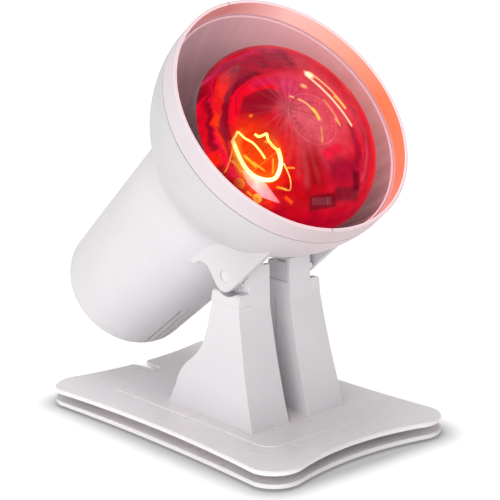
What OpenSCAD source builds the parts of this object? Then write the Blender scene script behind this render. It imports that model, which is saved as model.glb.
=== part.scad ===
// Infrared heat therapy lamp: a red reflector bulb in a bell-shaped head that
// tilts between two posts on a double-plate base. Origin: under the middle of the
// lamp, at the height of the surface it stands on. The mouth faces -Y.

/* [Base plates] */
// Length of both base plates, front to back
base_l = 175; // [160:1:190]
// Width of both base plates at the corners
base_w = 116; // [108:1:126]
// Corner radius of the plates
corner_r = 14; // [10:0.5:18]
// Hollow of the upper plate's front edge
front_sag = 7.2; // [3:0.2:9]
// Hollow of the upper plate's rear edge
rear_sag = 6; // [3:0.2:9]
// Hollow of the upper plate's long edges
side_sag = 3.8; // [1:0.2:6]
// Hollow of the lower plate's short edges
lower_end_sag = 5.8; // [3:0.2:9]
// Hollow of the lower plate's long edges
lower_side_sag = 2.2; // [1:0.2:6]
// Thickness of the upper plate
upper_t = 2.2; // [2:0.1:3]
// Thickness of the lower plate
lower_t = 2.1; // [2:0.1:3]
// Height of the cord channel between the plates
channel_h = 4; // [3.4:0.2:6]
// Depth of the cord channel under the upper plate's edge
channel_d = 10; // [7:0.5:13]
// Depth of the cord channel under the upper plate's front and rear edges
channel_end = 17; // [16.6:0.2:19]
// Thickness of the wall behind the cord channel
channel_wall = 2; // [1.6:0.2:3]
// Set-back of the small step that softens each plate's edge
edge_step = 0.35; // [0.2:0.05:0.5]
// Width of the cord notch at its inner end
notch_w = 4.8; // [4.4:0.1:6]
// Width of the cord notch where it meets the rear edge
notch_mouth = 11.5; // [9:0.5:14]
// Depth of the cord notch, from the rear edge
notch_d = 16.5; // [12:0.5:16.5]
// Sideways place of the cord notch
notch_x = -1.5; // [-6:0.5:6]
// Radius of a rubber foot
foot_r = 6; // [4:0.5:8]
// Height that a foot stands proud
foot_h = 1.2; // [0.8:0.1:2]
// Thickness of the steel ballast plate
ballast_t = 3.2; // [2.5:0.1:3.2]

/* [Raised panel] */
// Width of the panel that carries the posts
panel_w = 73.6; // [70:0.5:78]
// Length of that panel
panel_l = 123.4; // [116:0.5:128]
// Corner radius of the panel
panel_r = 8; // [5:0.5:12]
// Height of the panel above the plate
panel_proud = 0.3; // [0.2:0.05:0.6]
// Depth of the recess that takes the panel
recess_d = 1.2; // [0.8:0.1:1.4]

/* [Posts] */
// Width of the gap between the posts
post_gap = 12.8; // [11:0.2:14]
// Distance between the posts' outer faces at the foot
post_foot_w = 59.4; // [58:0.2:62]
// Distance between the posts' outer faces at the shoulder
post_shoulder_w = 50.6; // [49:0.2:51.4]
// Place of the posts' front edge at the foot
post_front_y = -41.4; // [-44:0.2:-39]
// Place of the posts' rear edge at the foot
post_rear_y = 21.4; // [19:0.2:24]
// Height of the shoulder that the head's ear turns above, over the plate
shoulder_h = 63.8; // [63:0.1:64.5]
// Height of the moulded shoulder cap
cap_h = 6; // [5:0.5:8]
// Place of the shoulder cap's inner face
cap_x = 18; // [16.5:0.5:18.5]
// Place of the lug's outer face
lug_x = 19.5; // [19:0.1:20]
// Half the lug's length, front to back, about the pivot
lug_half = 9.2; // [8.6:0.1:9.4]
// Height of the lug above the pivot
lug_rise = 5.8; // [5:0.1:6.2]
// Wall thickness of the hollow posts
post_wall = 2.4; // [2:0.1:3]
// Width of the groove on the post's inner face
groove_w = 1.2; // [0.8:0.1:2]

/* [Tilt joint] */
// Height of the tilt axis above the shoulder
pivot_rise = 8.2; // [7.8:0.1:9]
// Place of the tilt axis, front to back
pivot_y = -20; // [-22:0.5:-18]
// Radius of a pivot pin
pin_r = 2.9; // [2:0.1:3.4]
// Running clearance round a pin, on the radius
pin_play = 0.05; // [0.02:0.01:0.1]
// Clearance of a pin in its ear, on the radius
ear_play = 0.02; // [0.01:0.01:0.05]
// Radius of the detent ring on each lug
detent_r = 7.9; // [7:0.1:8]
// Number of ridges on a detent ring
detent_n = 18; // [12:2:24]

/* [Head] */
// Tilt of the head's axis above level
head_tilt = 39.5; // [36:0.5:41]
// Distance from the rim back to the tilt axis
pivot_back = 65.4; // [64:0.2:67]
// Distance from the rim's lower edge in to the tilt axis, square to the head's axis
pivot_in = 16.3; // [15.5:0.1:17]
// Outer radius of the rim
rim_r = 62.2; // [60:0.2:63]
// Wall thickness of the rim
rim_t = 1.6; // [1.4:0.1:2.2]
// Length of the front ring, from the rim to the seam
ring_l = 11; // [9:0.5:13]
// Wall thickness of the rear housing
shell_t = 2.2; // [2:0.1:2.6]
// Radius of the bell's outer sweep
bell_r = 74; // [73:0.5:76]
// Steepest slope of the bell, in degrees
bell_slope = 40.4; // [39:0.2:41]
// Radius of the fillet from the bell to the barrel
fillet_r = 26; // [24:0.5:28]
// Draft of the barrel, in degrees
barrel_draft = 2.6; // [2:0.1:3]
// Distance from the rim back to the rear end
head_l = 178.5; // [172:0.5:182]
// Rounding of the rear end
rear_round = 11; // [8:0.5:13]
// Distance between the ears' outer faces
ear_w = 52.4; // [51.6:0.2:53]
// Thickness of an ear
ear_t = 3; // [2.6:0.1:3.2]
// Radius of an ear's lobe
lobe_r = 7.3; // [7:0.1:7.6]
// Number of vent slots under the rear end
vent_n = 4; // [2:2:6]
// Width of a vent slot
vent_w = 1.7; // [1.4:0.1:2]

/* [Bulb and holder] */
// Gap from the reflector bulb's widest circle out to the rim's outside
bulb_gap = 14.7; // [14.2:0.1:16.2]
// Height of the bulb's face over its widest circle
face_h = 20; // [17:0.5:22]
// Distance from the rim back to the filament
filament_back = 36; // [32:0.5:44]
// Radius of the filament's arc
filament_r = 13; // [10:0.5:14]
// Distance that the middle of the face stands in front of the rim
face_out = 6.5; // [4:0.5:8]
// Thickness of the bulb's glass
glass_t = 1.2; // [1:0.1:1.5]
// Droop of the bulb in its holder, in degrees
droop = 3.4; // [0:0.1:4]
// Outer radius of the lamp holder
holder_r = 20; // [18:0.5:21]

/* [Hidden] */
$fn = 96;

pivot_drop = rim_r - pivot_in;
bulb_r = rim_r - bulb_gap;

// Outline of the head's bell and barrel as (radius, depth): a convex sweep from
// the seam, a hollow fillet and a drafted barrel
seam_r = rim_r + 0.2;
start_slope = 4.2;
sweep_c = [seam_r - bell_r * cos(start_slope), -ring_l + bell_r * sin(start_slope)];
bell_end = [sweep_c[0] + bell_r * cos(bell_slope), sweep_c[1] - bell_r * sin(bell_slope)];
fillet_c = bell_end + fillet_r * [cos(bell_slope), -sin(bell_slope)];
barrel_start = fillet_c - fillet_r * [cos(barrel_draft), -sin(barrel_draft)];

function barrel_r(t) = barrel_start[0] + (t - barrel_start[1]) * tan(barrel_draft);

// Place of the base's middle: the origin is under the middle of the whole lamp,
// from the base's front edge to the rounding of the head's rear end
rear_end_y = pivot_y + rear_round + cos(head_tilt) * (head_l - rear_round - pivot_back)
    + sin(head_tilt) * (barrel_r(rear_round - head_l) - rear_round + pivot_drop);
base_y = (base_l / 2 - rear_end_y) / 2;

module on_base() { translate([0, base_y, 0]) children(); }

// Heights of the base, from the table up
plate_z = foot_h;
channel_z = plate_z + lower_t;
upper_z = channel_z + channel_h;
top_z = upper_z + upper_t;
panel_z = top_z + panel_proud;
shoulder_z = top_z + shoulder_h;
pivot_z = shoulder_z + pivot_rise;
cap_z = shoulder_z - cap_h;
fit_gap = 0.1;
cap_gap = 0.02;
inner_x = post_gap / 2;
eps = 0.01;

// Points of an arc: centre, radius, from one angle to another in n steps
function arc(cx, cy, r, a0, a1, n) =
    [for (i = [0:n]) let (a = a0 + (a1 - a0) * i / n) [cx + r * cos(a), cy + r * sin(a)]];

// Plate outline with rounded corners and hollow edges; each edge is an arc of
// a large circle that is tangent to the corner circles.
function hollow_r(half, sag) = (half * half + sag * sag) / (2 * sag) - corner_r;

// Point where a corner circle about c touches the large circle about far
function touch(c, r, far) = c + r * (far - c) / norm(far - c);

module plate_outline(front, rear, side, inset = 0) {
    r = corner_r - inset;
    a = base_w / 2 - corner_r;
    b = base_l / 2 - corner_r;
    front_r = hollow_r(a, front);
    rear_r = hollow_r(a, rear);
    side_r = hollow_r(b, side);
    front_c = [0, -(base_l / 2 - front + front_r)];
    rear_c = [0, base_l / 2 - rear + rear_r];
    side_c = [base_w / 2 - side + side_r, 0];
    difference() {
        union() {
            polygon([touch([-a, -b], r, front_c), touch([a, -b], r, front_c),
                     touch([a, -b], r, side_c), touch([a, b], r, side_c),
                     touch([a, b], r, rear_c), touch([-a, b], r, rear_c),
                     touch([-a, b], r, -side_c), touch([-a, -b], r, -side_c)]);
            for (x = [-a, a], y = [-b, b]) translate([x, y]) circle(r);
        }
        translate(front_c) circle(front_r + inset + 2 * eps, $fn = 360);
        translate(rear_c) circle(rear_r + inset + 2 * eps, $fn = 360);
        for (s = [-1, 1]) translate(s * side_c) circle(side_r + inset + 2 * eps, $fn = 720);
    }
}

// Plate with a small step above and below that softens its edge
module soft_plate(t, front, rear, side) {
    linear_extrude(t) plate_outline(front, rear, side, edge_step);
    translate([0, 0, t / 5]) linear_extrude(t * 3 / 5) plate_outline(front, rear, side);
}

module rounded_rect(w, l, r) {
    for (x = [-1, 1], y = [-1, 1])
        translate([x * (w / 2 - r), y * (l / 2 - r)]) circle(r);
    square([w, l - 2 * r], center = true);
    square([w - 2 * r, l], center = true);
}

core_w = base_w - 2 * channel_d - 2 * side_sag;
core_l = base_l - 2 * channel_end - 2 * front_sag;
core_r = 6;
screw_x = core_w / 2 - 5;
screw_y = core_l / 2 - 5;
screw_r = 1.5;
screw_head_r = 2.9;
screw_head_h = 1.1;

module at_base_screws() {
    for (x = [-1, 1], y = [-1, 1]) translate([x * screw_x, y * screw_y, 0]) children();
}

foot_x = base_w / 2 - corner_r - 1;
foot_y = base_l / 2 - corner_r - 1;
foot_sink = 0.8;

module base_lower_plate() {
    color([0.87, 0.85, 0.86]) on_base() difference() {
        translate([0, 0, plate_z]) soft_plate(lower_t, lower_end_sag, lower_end_sag, lower_side_sag);
        for (x = [-1, 1], y = [-1, 1])
            translate([x * foot_x, y * foot_y, plate_z - eps])
                cylinder(r = foot_r + fit_gap, h = foot_sink + eps);
        at_base_screws() {
            translate([0, 0, plate_z - eps]) cylinder(r = screw_head_r + fit_gap, h = screw_head_h + eps);
            cylinder(r = screw_r + fit_gap, h = channel_z + 1);
        }
    }
}

module rubber_feet() {
    color([0.2, 0.2, 0.21]) on_base()
        for (x = [-1, 1], y = [-1, 1]) translate([x * foot_x, y * foot_y, 0])
            rotate_extrude() polygon([[0, 0], [foot_r - 0.5, 0], [foot_r, 0.5],
                                      [foot_r, plate_z + foot_sink], [0, plate_z + foot_sink]]);
}

// The notch narrows from the rear edge to a round inner end
notch_end_y = base_l / 2 - rear_sag - notch_d + notch_w / 2;
mouth_r = 5;

module notch_outline() {
    translate([notch_x, notch_end_y]) circle(notch_w / 2);
    polygon([[notch_x - notch_w / 2, notch_end_y], [notch_x + notch_w / 2, notch_end_y],
             [notch_x + notch_w / 2 + 0.6, base_l / 2 - rear_sag - mouth_r],
             [notch_x + notch_mouth / 2 + 0.6, base_l / 2], [notch_x - notch_mouth / 2 - 0.6, base_l / 2],
             [notch_x - notch_w / 2 - 0.6, base_l / 2 - rear_sag - mouth_r]]);
}

module base_upper_plate() {
    color([0.9, 0.88, 0.89]) on_base() difference() {
        translate([0, 0, upper_z]) soft_plate(upper_t, front_sag, rear_sag, side_sag);
        translate([0, 0, top_z - recess_d]) linear_extrude(recess_d + 1)
            rounded_rect(panel_w + 2 * fit_gap, panel_l + 2 * fit_gap, panel_r + fit_gap);
        translate([0, 0, upper_z - 1]) linear_extrude(upper_t + 2) notch_outline();
        at_base_screws() translate([0, 0, upper_z - 1]) cylinder(r = screw_r, h = 1.6);
        at_post_screws() translate([0, 0, upper_z - 1]) cylinder(r = screw_r + fit_gap, h = upper_t + 2);
    }
}

// Hollow frame between the plates; the cord winds round its wall
module base_core() {
    color([0.85, 0.83, 0.85]) on_base() translate([0, 0, channel_z]) difference() {
        linear_extrude(channel_h) {
            difference() {
                rounded_rect(core_w, core_l, core_r);
                rounded_rect(core_w - 2 * channel_wall, core_l - 2 * channel_wall, core_r - channel_wall);
            }
            at_base_screws() circle(3.4);
        }
        at_base_screws() translate([0, 0, -1]) cylinder(r = screw_r + fit_gap, h = channel_h + 2);
    }
}

module base_screws() {
    color([0.7, 0.7, 0.72]) on_base() at_base_screws() difference() {
        translate([0, 0, plate_z + eps]) {
            cylinder(r = screw_head_r, h = screw_head_h - eps);
            cylinder(r = screw_r, h = lower_t + channel_h + 0.5);
        }
        translate([-screw_head_r, -0.35, 0]) cube([2 * screw_head_r, 0.7, plate_z + 0.5]);
    }
}

ballast_gap = 0.6;

module ballast_plate() {
    color([0.42, 0.43, 0.45]) on_base() translate([0, 0, channel_z]) difference() {
        linear_extrude(ballast_t)
            rounded_rect(core_w - 2 * channel_wall - 2 * ballast_gap - 16,
                         core_l - 2 * channel_wall - 2 * ballast_gap, 3);
        at_post_screws() translate([0, 0, -1]) cylinder(r = 5, h = ballast_t + 2);
    }
}

post_screw_x = (inner_x + lug_x) / 2;
post_screw_ys = [pivot_y - 8, 2];

module at_post_screws() {
    for (s = [-1, 1], y = post_screw_ys) translate([s * post_screw_x, y, 0]) children();
}

module post_panel() {
    color([0.9, 0.88, 0.89]) on_base() difference() {
        translate([0, 0, top_z - recess_d]) linear_extrude(recess_d + panel_proud)
            rounded_rect(panel_w, panel_l, panel_r);
        at_post_screws() translate([0, 0, top_z - recess_d - 1])
            cylinder(r = screw_r + fit_gap, h = recess_d + 3);
    }
}

post_screw_l = 9;

module post_screws() {
    color([0.7, 0.7, 0.72]) on_base() at_post_screws() {
        translate([0, 0, upper_z - screw_head_h]) cylinder(r = screw_head_r, h = screw_head_h);
        translate([0, 0, upper_z - eps]) cylinder(r = screw_r, h = post_screw_l);
    }
}

// Side view of a post as (y, z). The front edge flares forward to the foot, and
// the rear edge sweeps out to a rounded heel.
front_top_y = pivot_y - lug_half;
front_sweep = 0.95;
sweep_h = cap_z - 2 - panel_z;

function front_edge() =
    let (foot = [post_front_y, panel_z], head = [front_top_y, panel_z + sweep_h],
         chord = norm(head - foot),
         r = (chord * chord / 4 + front_sweep * front_sweep) / (2 * front_sweep),
         back = [sweep_h, foot[0] - head[0]] / chord,
         c = (foot + head) / 2 + (front_sweep - r) * back,
         a0 = atan2(foot[1] - c[1], foot[0] - c[0]),
         a1 = atan2(head[1] - c[1], head[0] - c[0]))
    arc(c[0], c[1], r, a0, a1, 12);

neck_y = pivot_y + 10.4;
waist_y = -6.8;
waist_z = shoulder_z - 18.1;
sweep_r = 30.2;
heel_r = 27.7;
sweep_in = 9;
sweep_out = 55;
heel_out = 14.6;

function rear_edge() =
    let (c1 = [waist_y + sweep_r * cos(sweep_in), waist_z + sweep_r * sin(sweep_in)],
         up = arc(c1[0], c1[1], sweep_r, 180 + sweep_in, 180 + sweep_out, 10),
         e = up[10],
         c2 = e - heel_r * [cos(sweep_out), sin(sweep_out)],
         heel = arc(c2[0], c2[1], heel_r, sweep_out, heel_out, 10))
    concat(up, [for (i = [1:10]) heel[i]]);

module post_side(top) {
    polygon(concat(front_edge(), [[front_top_y, top], [neck_y, top]], rear_edge(),
                   [[post_rear_y, panel_z]]));
}

// Turns a (y, z) outline into a slab that runs in X from x0 to x1
module slab(x0, x1) {
    translate([x0, 0, 0]) rotate([90, 0, 90]) linear_extrude(x1 - x0) children();
}

function lean(z) =
    post_foot_w / 2 - (post_foot_w - post_shoulder_w) / 2 * (z - panel_z) / (shoulder_z - panel_z);

// The post's leaning outer side; its top corner is rounded by r
module lean_block(r = 0) {
    top = shoulder_z - r;
    translate([0, 60, 0]) rotate([90, 0, 0]) linear_extrude(120)
        polygon(concat([[0, panel_z], [lean(panel_z), panel_z]],
                       r > 0 ? arc(lean(top) - r, top, r, 0, 90, 6) : [[lean(top), top]],
                       [[0, shoulder_z]]));
}

// The lug stands on the post's inner half. Its top is cut back on the inner
// side, where the bell passes over it, behind a thin web that keeps the front
// whole. A rounded nub on its outer front edge keeps the ear away from the lug.
lug_flat = lug_rise - 1.2;
chamfer_low = 11.5;
chamfer_x = 10.6;
web_t = 2;
web_top = 4.2;
nub_r = 1.4;
nub_drop = 1.8;
nub_l = 1.1;

module lug_side() {
    translate([front_top_y, shoulder_z]) square([2 * lug_half, pivot_z - shoulder_z]);
    polygon([[front_top_y, pivot_z - eps], [front_top_y, pivot_z + lug_flat],
             [front_top_y + 2.6, pivot_z + lug_rise], [pivot_y, pivot_z + lug_rise],
             [pivot_y, pivot_z - eps]]);
    translate([pivot_y, pivot_z]) circle(lug_rise);
}

module lug() {
    difference() {
        slab(inner_x, lug_x) lug_side();
        translate([0, front_top_y + 2 * lug_half + 2, 0]) rotate([90, 0, 0])
            linear_extrude(2 * lug_half + 2 - web_t)
                polygon([[inner_x - 1, pivot_z - chamfer_low], [inner_x, pivot_z - chamfer_low],
                         [chamfer_x, pivot_z + lug_rise + eps], [inner_x - 1, pivot_z + lug_rise + 1]]);
        translate([inner_x - 1, front_top_y - 1, pivot_z + web_top])
            cube([chamfer_x - inner_x + 0.5, web_t + 1 + eps, lug_rise]);
        translate([0, front_top_y + 2 * lug_half + 2, 0]) rotate([90, 0, 0])
            linear_extrude(2 * lug_half + 4)
                translate([cap_x + cap_gap, shoulder_z - 1]) square([5, 1 + cap_gap]);
    }
    translate([lug_x + 0.3, front_top_y, pivot_z - nub_drop]) rotate([-90, 0, 0])
        cylinder(r = nub_r, h = nub_l);
}

// Room under the post, open below, with its walls kept round it
module post_hollow() {
    polygon([[post_front_y + 7, panel_z - 1], [post_front_y + 8, panel_z + 12],
             [front_top_y + 3.6, cap_z - 10], [front_top_y + 3.6, cap_z - 4], [waist_y - 4, cap_z - 4],
             [waist_y - 3.4, waist_z], [waist_y + 3, waist_z - 18], [post_rear_y - 8, panel_z + 12],
             [post_rear_y - 4, panel_z - 1]]);
}

module post() {
    difference() {
        union() {
            intersection() {
                union() {
                    slab(inner_x, cap_x) post_side(shoulder_z);
                    slab(cap_x - eps, post_foot_w / 2) post_side(cap_z);
                }
                lean_block();
            }
            intersection() {
                slab(inner_x, cap_x) translate([front_top_y, cap_z])
                    square([2 * lug_half, shoulder_h - cap_h]);
                lean_block();
            }
            lug();
        }
        difference() {
            intersection() {
                slab(inner_x + post_wall, lug_x + 6) post_hollow();
                translate([-post_wall, 0, -eps]) lean_block();
            }
            at_post_screws() translate([0, 0, panel_z - 2]) cylinder(r = 3.2, h = shoulder_h);
        }
        at_post_screws() translate([0, 0, panel_z - 1]) cylinder(r = screw_r, h = 10);
        // groove on the inner face
        translate([inner_x - 1, pivot_y + 1, panel_z + 6]) cube([1.6, groove_w, 48]);
        // blind bore for the pivot pin
        translate([inner_x + 3, pivot_y, pivot_z]) rotate([0, 90, 0])
            cylinder(r = pin_r + pin_play, h = 30);
    }
}

module left_post() { color([0.91, 0.89, 0.91]) on_base() mirror([1, 0, 0]) post(); }

module right_post() { color([0.91, 0.89, 0.91]) on_base() post(); }

seat_r = pivot_z - shoulder_z + 1.9;
shoulder_round = 1.4;

module shoulder_cap() {
    difference() {
        intersection() {
            slab(cap_x + cap_gap, post_foot_w / 2) post_side(shoulder_z);
            lean_block(shoulder_round);
            translate([cap_x, front_top_y - 1, cap_z + cap_gap]) cube([20, 40, cap_h]);
        }
        translate([cap_x, pivot_y, pivot_z]) rotate([0, 90, 0]) cylinder(r = seat_r, h = 20);
    }
}

module left_shoulder_cap() { color([0.92, 0.9, 0.92]) on_base() mirror([1, 0, 0]) shoulder_cap(); }

module right_shoulder_cap() { color([0.92, 0.9, 0.92]) on_base() shoulder_cap(); }

ring_base_t = 0.9;
ridge_h = 1.3;

module detent_rings() {
    color([0.8, 0.79, 0.8]) on_base() for (s = [0, 1]) mirror([s, 0, 0])
        translate([lug_x, pivot_y, pivot_z]) rotate([0, 90, 0]) difference() {
            union() {
                cylinder(r = detent_r, h = ring_base_t);
                for (i = [0:detent_n - 1]) rotate([0, 0, i * 360 / detent_n])
                    translate([pin_r + 2.2, -0.5, ring_base_t - eps])
                        cube([detent_r - pin_r - 2.5, 1, ridge_h]);
            }
            translate([0, 0, -1]) cylinder(r = pin_r + 0.4, h = 5);
        }
}

// Everything below this line is placed in the head: local Z runs out of the
// mouth along the axis, with 0 at the rim, and local Y points up and back.
module in_head() {
    on_base() translate([0, pivot_y, pivot_z]) rotate([90 - head_tilt, 0, 0])
        translate([0, pivot_drop, pivot_back]) children();
}

// The bulb and its holder droop a little about the socket
socket_t = -117;

module drooped() {
    translate([0, 0, socket_t]) rotate([droop, 0, 0]) translate([0, 0, -socket_t]) children();
}

module in_lamp() { in_head() drooped() children(); }

// Bell outline moved inwards by w along its own normal
function bell(w) = concat(
    [for (i = [0:14]) let (a = start_slope + (bell_slope - start_slope) * i / 14)
        sweep_c + (bell_r - w) * [cos(a), -sin(a)]],
    [for (i = [1:10]) let (a = bell_slope + (barrel_draft - bell_slope) * i / 10)
        fillet_c - (fillet_r + w) * [cos(a), -sin(a)]]);

// Closed outline of the housing's outside (w = 0) or hollow (w = wall)
function housing_profile(w, front) =
    let (end = -head_l + w, round = rear_round - w, r = barrel_r(-head_l + rear_round) - w)
    concat([[0, front], [bell(w)[0][0], front]], bell(w),
           [for (i = [0:8]) let (a = 90 * i / 8)
               [r - round + round * cos(a), end + round - round * sin(a)]],
           [[0, end]]);

ear_line = pivot_drop + 7.1;
notch_t = pivot_back + 15.1;
notch_n = pivot_drop - 8.4;
notch_r = 7;
lobe_t = pivot_back + 1.2;
ear_tip_t = pivot_back + 18.6;
ear_tip_n = pivot_drop - 17.7;
ear_root_n = pivot_drop - 27.9;

// Ear seen from the side, as (depth, height) in the head
module ear_outline() {
    difference() {
        union() {
            polygon([[-ring_l - 6, -ear_line], [-lobe_t, -ear_line], [-lobe_t, -ear_line + lobe_r],
                     [-lobe_t - lobe_r, -ear_line + lobe_r], [-notch_t + notch_r, -notch_n],
                     [-notch_t, -notch_n], [-notch_t, -notch_n + notch_r], [-ear_tip_t, -ear_tip_n],
                     [-ear_tip_t, -ear_root_n], [-ring_l - 6, -ear_root_n]]);
            translate([-lobe_t, -ear_line + lobe_r]) circle(lobe_r);
        }
        translate([-notch_t, -notch_n]) circle(notch_r);
    }
}

module at_pivot() { translate([0, -pivot_drop, -pivot_back]) rotate([0, 90, 0]) children(); }

boss_r = 4;
bracket_t = -151;
boss_in = 5;
boss_x = barrel_r(bracket_t) - shell_t - boss_r - boss_in;
bracket_thick = 1.5;

module bosses() {
    difference() {
        for (s = [-1, 1]) translate([s * boss_x, 0, -head_l + 1]) cylinder(r = boss_r, h = 40, $fn = 48);
        drooped() translate([-50, -50, bracket_t - bracket_thick]) cube([100, 100, 60]);
    }
}

vent_step = 8;
vent_top = -131;
vent_in = barrel_r(-head_l) - shell_t - 4;
vent_out = vent_in + 32;

module vents() {
    for (i = [0:vent_n - 1]) rotate([0, 0, (i - (vent_n - 1) / 2) * vent_step]) {
        translate([-vent_w / 2, -vent_out, -head_l - 5])
            cube([vent_w, vent_out - vent_in, head_l + 5 + vent_top]);
        translate([0, -vent_out, vent_top]) rotate([-90, 0, 0])
            cylinder(r = vent_w / 2, h = vent_out - vent_in, $fn = 24);
    }
}

gland_r = 5;

module rear_housing() {
    color([0.9, 0.88, 0.9]) in_head() difference() {
        union() {
            difference() {
                union() {
                    rotate_extrude($fn = 128) polygon(housing_profile(0, -ring_l));
                    // tongue that the front ring snaps onto
                    translate([0, 0, -ring_l - 1]) cylinder(r = tongue_r, h = 1 + tongue_l, $fn = 128);
                    intersection() {
                        for (s = [-1, 1]) translate([s * (ear_w - ear_t) / 2 + ear_t / 2, 0, 0])
                            rotate([0, -90, 0]) linear_extrude(ear_t) ear_outline();
                        translate([0, 0, -100]) cylinder(r = rim_r, h = 100 - ring_l);
                    }
                }
                rotate_extrude($fn = 128) polygon(housing_profile(shell_t, -ring_l + tongue_l + 1));
            }
            bosses();
        }
        vents();
        translate([0, 0, -head_l - 1]) cylinder(r = gland_r + fit_gap, h = 6);
        for (s = [-1, 1]) drooped() translate([s * boss_x, 0, bracket_t - 14])
            cylinder(r = 1.2, h = 20, $fn = 32);
        translate([-40, 0, 0]) at_pivot() cylinder(r = pin_r + ear_play, h = 80);
    }
}

tongue_r = seam_r - 1.2;
tongue_l = 2;
seam_gap = 0.2;

module front_ring() {
    color([0.93, 0.86, 0.86]) in_head() rotate_extrude($fn = 128)
        polygon([[rim_r - 0.3, 0], [rim_r, -0.4], [seam_r, -ring_l + seam_gap + 0.3],
                 [seam_r - 0.3, -ring_l + seam_gap], [tongue_r + fit_gap, -ring_l + seam_gap],
                 [tongue_r + fit_gap, -ring_l + tongue_l + fit_gap],
                 [rim_r - rim_t, -ring_l + tongue_l + fit_gap],
                 [rim_r - rim_t, -0.4], [rim_r - rim_t + 0.3, 0]]);
}

shade_gap = 0.3;
shade_t = 0.9;
shade_front = -9.7;
shade_in = shell_t + shade_gap;

module inner_shade() {
    outer = bell(shade_in);
    inner = bell(shade_in + shade_t);
    color([0.72, 0.66, 0.68]) in_head() rotate_extrude($fn = 128)
        polygon(concat([[outer[0][0], shade_front]], [for (i = [0:13]) outer[i]],
                       [for (i = [13:-1:0]) inner[i]], [[inner[0][0], shade_front]]));
}

pin_end = inner_x + 3.4;

module pivot_pin() {
    in_head() translate([pin_end, 0, 0]) at_pivot()
        cylinder(r = pin_r, h = ear_w / 2 - 0.15 - pin_end);
}

module left_pivot_pin() { color([0.75, 0.75, 0.77]) mirror([1, 0, 0]) pivot_pin(); }

module right_pivot_pin() { color([0.75, 0.75, 0.77]) pivot_pin(); }

washer_in = lug_x + ring_base_t + ridge_h + fit_gap;
washer_r = 6.5;

module friction_washers() {
    color([0.75, 0.75, 0.77]) for (s = [0, 1]) mirror([s, 0, 0])
        in_head() translate([washer_in, 0, 0]) at_pivot() difference() {
            cylinder(r = washer_r, h = ear_w / 2 - ear_t - washer_in);
            translate([0, 0, -1]) cylinder(r = pin_r + fit_gap, h = 6);
        }
}

// The bulb's face is a shallow dome with a rounded edge
edge_r = 16;
widest_t = face_out - face_h;
dome_r = (pow(bulb_r - edge_r, 2) + pow(face_h, 2) - pow(edge_r, 2)) / (2 * (face_h - edge_r));

function face_points(w) =
    let (c = face_out - dome_r, a1 = asin((bulb_r - edge_r) / (dome_r - edge_r)))
    concat([for (i = [0:10]) let (a = a1 * i / 10) [(dome_r - w) * sin(a), c + (dome_r - w) * cos(a)]],
           [for (i = [1:8]) let (a = a1 + (90 - a1) * i / 8)
               [bulb_r - edge_r + (edge_r - w) * sin(a), widest_t + (edge_r - w) * cos(a)]]);

module bulb_face() {
    outer = face_points(0);
    inner = face_points(glass_t);
    color([0.85, 0.08, 0.1]) in_lamp() rotate_extrude($fn = 128)
        polygon(concat(outer, [for (i = [len(inner) - 1:-1:0]) inner[i]]));
}

neck_r = 16;
cap_t = -100;

// The bowl bends from the widest circle into a cone that runs to the neck
bowl_r = 72;
bowl_slope = 33;

function bowl_points(w) =
    let (c = [bulb_r - bowl_r, widest_t],
         bend = [for (i = [0:12]) let (a = bowl_slope * i / 12) c + (bowl_r - w) * [cos(a), -sin(a)]],
         run = (bend[12][0] - neck_r + w) / tan(bowl_slope))
    concat(bend, [[neck_r - w, bend[12][1] - run], [neck_r - w, cap_t + 6], [cap_r - 1.4 - w, cap_t + 1]]);

module bulb_reflector() {
    outer = bowl_points(0);
    inner = bowl_points(glass_t);
    color([0.8, 0.8, 0.82]) in_lamp() rotate_extrude($fn = 128)
        polygon(concat(outer, [for (i = [len(inner) - 1:-1:0]) inner[i]]));
}

cap_r = 13.2;
cap_end = -121;
thread_pitch = 3.6;

module bulb_screw_cap() {
    color([0.8, 0.78, 0.72]) in_lamp() rotate_extrude()
        polygon(concat([[cap_r - 1.4, cap_t], [cap_r - 0.4, cap_t]],
                       [for (i = [1:10]) [cap_r - (i % 2) * 0.9, cap_t - i * thread_pitch / 2 - 1]],
                       [[5, cap_end], [5, cap_end + 1], [cap_r - 2, cap_end + 3]]));
}

module bulb_contact() {
    color([0.72, 0.68, 0.6]) in_lamp() translate([0, 0, cap_end - 2.4]) {
        cylinder(r1 = 3, r2 = 4.9, h = 2.4);
        translate([0, 0, 2.4]) cylinder(r = 4.9, h = 1);
    }
}

support_h = 20;
stem_top = -filament_back - support_h;
stem_foot_r = cap_r - 3;
stem_r = 4;

module bulb_stem() {
    color([0.85, 0.85, 0.88]) in_lamp() {
        rotate_extrude() polygon([[0, cap_t + 1], [stem_foot_r, cap_t + 1], [stem_foot_r, cap_t + 2.5],
                                  [stem_r + 1, cap_t + 9], [stem_r, stem_top], [0, stem_top]]);
    }
}

// The filament is an open arc, a little above the bulb's axis. Its supports
// stand on the flat end of the stem.
arc_from = 122;
arc_turn = 234;
arc_up = 4;
wire_r = 0.8;
support_r = 0.5;
support_foot = 2.8;
support_up = 3;

module filament() {
    color([1, 0.8, 0.3]) in_lamp() {
        translate([0, arc_up, -filament_back]) rotate([0, 0, arc_from])
            rotate_extrude(angle = arc_turn, $fn = 48) translate([filament_r, 0]) circle(wire_r, $fn = 16);
        for (i = [0:2]) {
            a = arc_from + arc_turn * i / 2;
            foot = support_foot * [cos(a), sin(a)];
            translate([foot[0], foot[1], stem_top]) cylinder(r = support_r, h = support_up, $fn = 16);
            hull() {
                translate([foot[0], foot[1], stem_top + support_up]) sphere(support_r, $fn = 16);
                translate([filament_r * cos(a), arc_up + filament_r * sin(a), -filament_back])
                    sphere(support_r, $fn = 16);
            }
        }
    }
}

holder_front = -98.5;
holder_back = bracket_t;
holder_stem_r = boss_x - boss_r - 4;
holder_step = cap_end - 5;

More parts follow.
